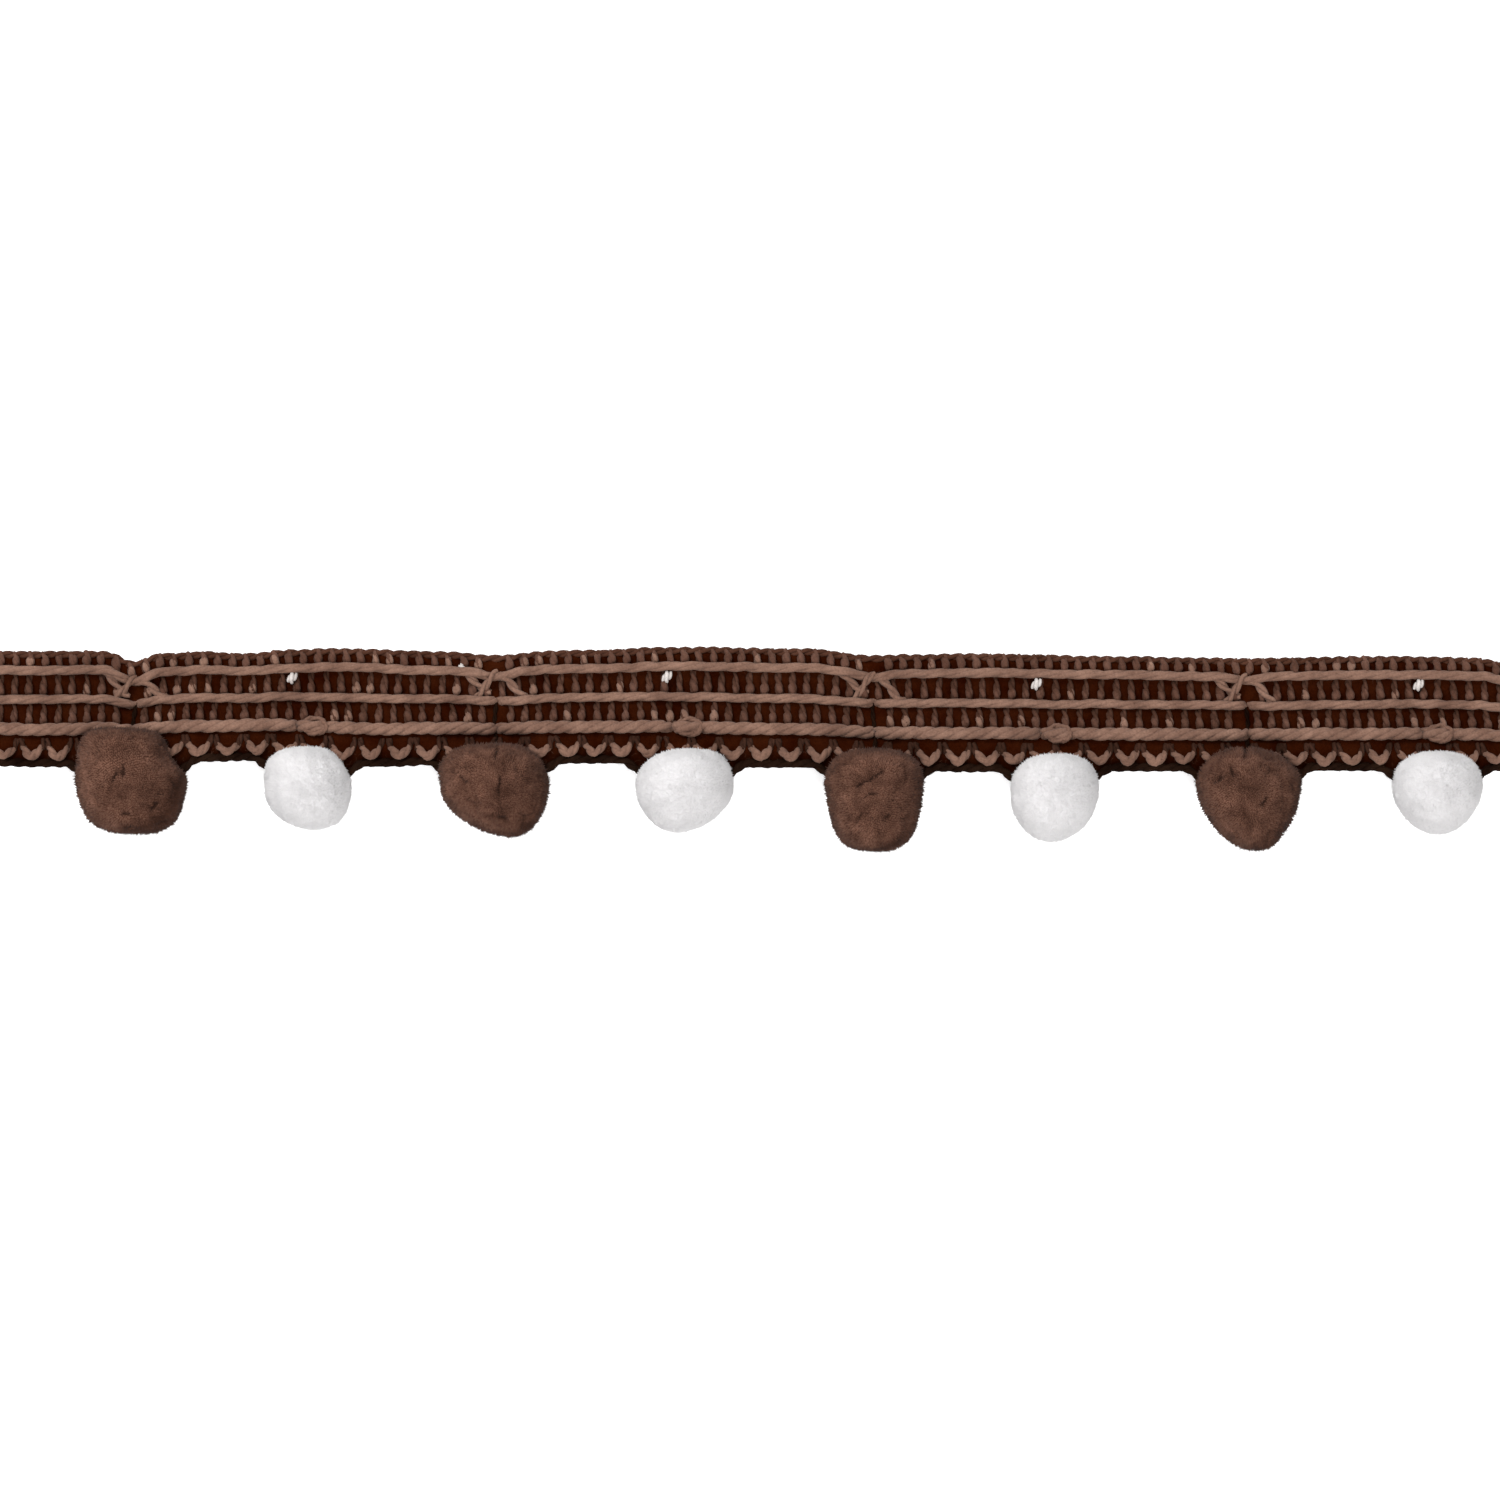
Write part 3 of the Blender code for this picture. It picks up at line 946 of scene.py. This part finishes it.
def pompom_fibres(pompom, number, mesh, painted_light_layer, parted):
    """Raises a short cut fibre from each small face, and paints its light: shade at the roots and on
    the sides, light at tips that face up, and on brown pompoms painted shadow on the faces turned from
    the key light.
    """
    chance = random.Random(500 + number)
    brown = pompom["yarn"] == "brown"
    side_painted_light = SIDE_LIGHT[pompom["yarn"]]
    before = set(mesh.verts)
    raised = bmesh.ops.poke(mesh, faces=mesh.faces[:])["verts"]
    mesh.normal_update()
    for vert in raised:
        around = [edge.other_vert(vert) for edge in vert.link_edges]
        normal = sum((v.normal for v in around if v in before), Vector()).normalized()
        long = chance.uniform(PILE_SHORTEST, PILE_LONGEST[pompom["yarn"]])
        long *= 1.0 - 0.5 * around[0][parted]
        stray = Vector((chance.gauss(0.0, 1.0), chance.gauss(0.0, 1.0), chance.gauss(0.0, 1.0)))
        vert[parted] = sum(v[parted] for v in around) / len(around)
        low = max(0.0, min(1.0, normal.z / 0.85))
        tip = side_painted_light + (1.0 - side_painted_light) * low * low * (3.0 - 2.0 * low)
        # Painted shadow: on brown pompoms the faces turned right and down, away from the key light,
        # are darker, most on the first one.
        if brown:
            turned_from_light = max(0.0, 0.8 * normal.x - 0.6 * normal.y - 0.25)
            tip -= (1.5 if number == 0 else 1.0) * turned_from_light
        vert[painted_light_layer] = max(0.0, tip)
        moved = vert.co + long * (normal + 0.22 * stray)
        moved.z = max(moved.z, 0.02)
        vert.co = moved


def pompom_piece(pompom, number):
    """A pompom: a soft form covered all over with short cut fibres."""
    mesh = bmesh.new()
    bmesh.ops.create_icosphere(mesh, subdivisions=6, radius=1.0)
    painted_light_layer = mesh.verts.layers.float.new("pile_painted_light")
    parted = mesh.verts.layers.float.new("parting")
    pompom_form(pompom, number, mesh, parted)
    pompom_fibres(pompom, number, mesh, painted_light_layer, parted)
    for vert in mesh.verts:
        vert.co = placed(*vert.co)
    material = BROWN_PILE if pompom["yarn"] == "brown" else WHITE_PILE
    piece = add_mesh(pompom["name"] + "_pile", mesh, material)
    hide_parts(pompom["name"])


def frayed_ends():
    """The plain cut ends: each cord's last fibres stand out a little."""
    chance = random.Random(77)
    strands = []
    for end in (-1.0, 1.0):
        for _ in range(CUT_END_FIBRES):
            across = chance.uniform(0.02, 0.97)
            height = chance.uniform(0.2, 1.0)
            start = 0.5 * LENGTH * end * 0.997
            long = chance.uniform(0.3, 0.9)
            drift = chance.uniform(-0.03, 0.03)
            lift = chance.uniform(-0.2, 0.15)
            path = []
            for t in steps(3):
                rise = max(0.06, height + lift * t * t)
                x, y, z = on_braid(start + end * long * t, across + drift * t * t, rise)
                path.append((x, y, max(0.05, z), 1.0 - 0.5 * t))
            strands.append(path)
    add_strands("cut_end_fibres", strands, 0.035, 0, STITCH)


# Where across the braid the hairs grow
HAIR_ROWS = (0.0, 0.15, 0.41, 0.68, 0.90, 0.99)


def stray_fibres():
    """Fine hairs that stand off the braid's cords."""
    chance = random.Random(91)
    strands = []
    for _ in range(STRAY_FIBRES):
        x = chance.uniform(-0.497, 0.497) * LENGTH
        across = chance.choice(HAIR_ROWS) + chance.uniform(-0.03, 0.03)
        height = 0.75 + chance.uniform(0.0, 0.45) if 0.05 < across < 0.92 else 0.45
        angle = chance.uniform(0.0, 2.0 * math.pi)
        long = chance.uniform(0.20, 0.55)
        rise = chance.uniform(-0.1, 0.35)
        path = []
        for t in steps(3):
            bend = angle + 0.8 * t
            px, py, pz = on_braid(x + long * t * math.cos(bend), across, height + rise * t)
            path.append((px, py + long * t * math.sin(bend), max(0.03, pz), 1.0 - 0.6 * t))
        strands.append(path)
    add_strands("stray_fibres", strands, 0.012, 0, BAR)


# Build

cloth = ground()
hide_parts("heading_braid")
ribs()
stitches()
loops()
edges()
ties()
knots()
frayed_ends()
stray_fibres()
for number, pompom in enumerate(POMPOM_ROWS):
    pompom_piece(pompom, number)


# Floor, light and camera

def stage_floor():
    mesh = bmesh.new()
    bmesh.ops.create_grid(mesh, x_segments=8, y_segments=8, size=3.0)
    for face in mesh.faces:
        face.smooth = True
    data = bpy.data.meshes.new("floor")
    mesh.to_mesh(data)
    mesh.free()
    data.materials.append(floor_material())
    floor = bpy.data.objects.new("floor", data)
    bpy.context.scene.collection.objects.link(floor)


def add_light(name, place, size, power):
    data = bpy.data.lights.new(name, "AREA")
    data.shape = "DISK"
    data.size = size
    data.energy = power
    lamp = bpy.data.objects.new(name, data)
    bpy.context.scene.collection.objects.link(lamp)
    lamp.location = place
    lamp.rotation_mode = "QUATERNION"
    aim = Vector(LIGHT_AIM) - Vector(place)
    lamp.rotation_quaternion = aim.to_track_quat("-Z", "Y")


def light_world():
    world = bpy.data.worlds.new("studio")
    bpy.context.scene.world = world
    world.use_nodes = True
    background = world.node_tree.nodes["Background"]
    background.inputs["Color"].default_value = WHITE
    background.inputs["Strength"].default_value = WORLD_STRENGTH


def add_camera():
    """Looks straight down, as the photo does."""
    data = bpy.data.cameras.new("camera")
    data.lens = LENS
    data.sensor_width = SENSOR
    data.clip_start = 0.01
    data.clip_end = 20.0
    camera = bpy.data.objects.new("camera", data)
    bpy.context.scene.collection.objects.link(camera)
    distance = METRES * FRAME_WIDTH * LENS / SENSOR
    height = METRES * FOCUS_HEIGHT + distance
    camera.location = (0.0, METRES * (FOCUS_Y - ORIGIN_Y), height)
    camera.rotation_euler = (0.0, 0.0, 0.0)
    bpy.context.scene.camera = camera


stage_floor()
light_world()
for name, place, size, power in LIGHTS:
    add_light(name, place, size, power)
add_camera()
bpy.context.scene.view_settings.view_transform = "Standard"
bpy.context.scene.view_settings.look = "None"
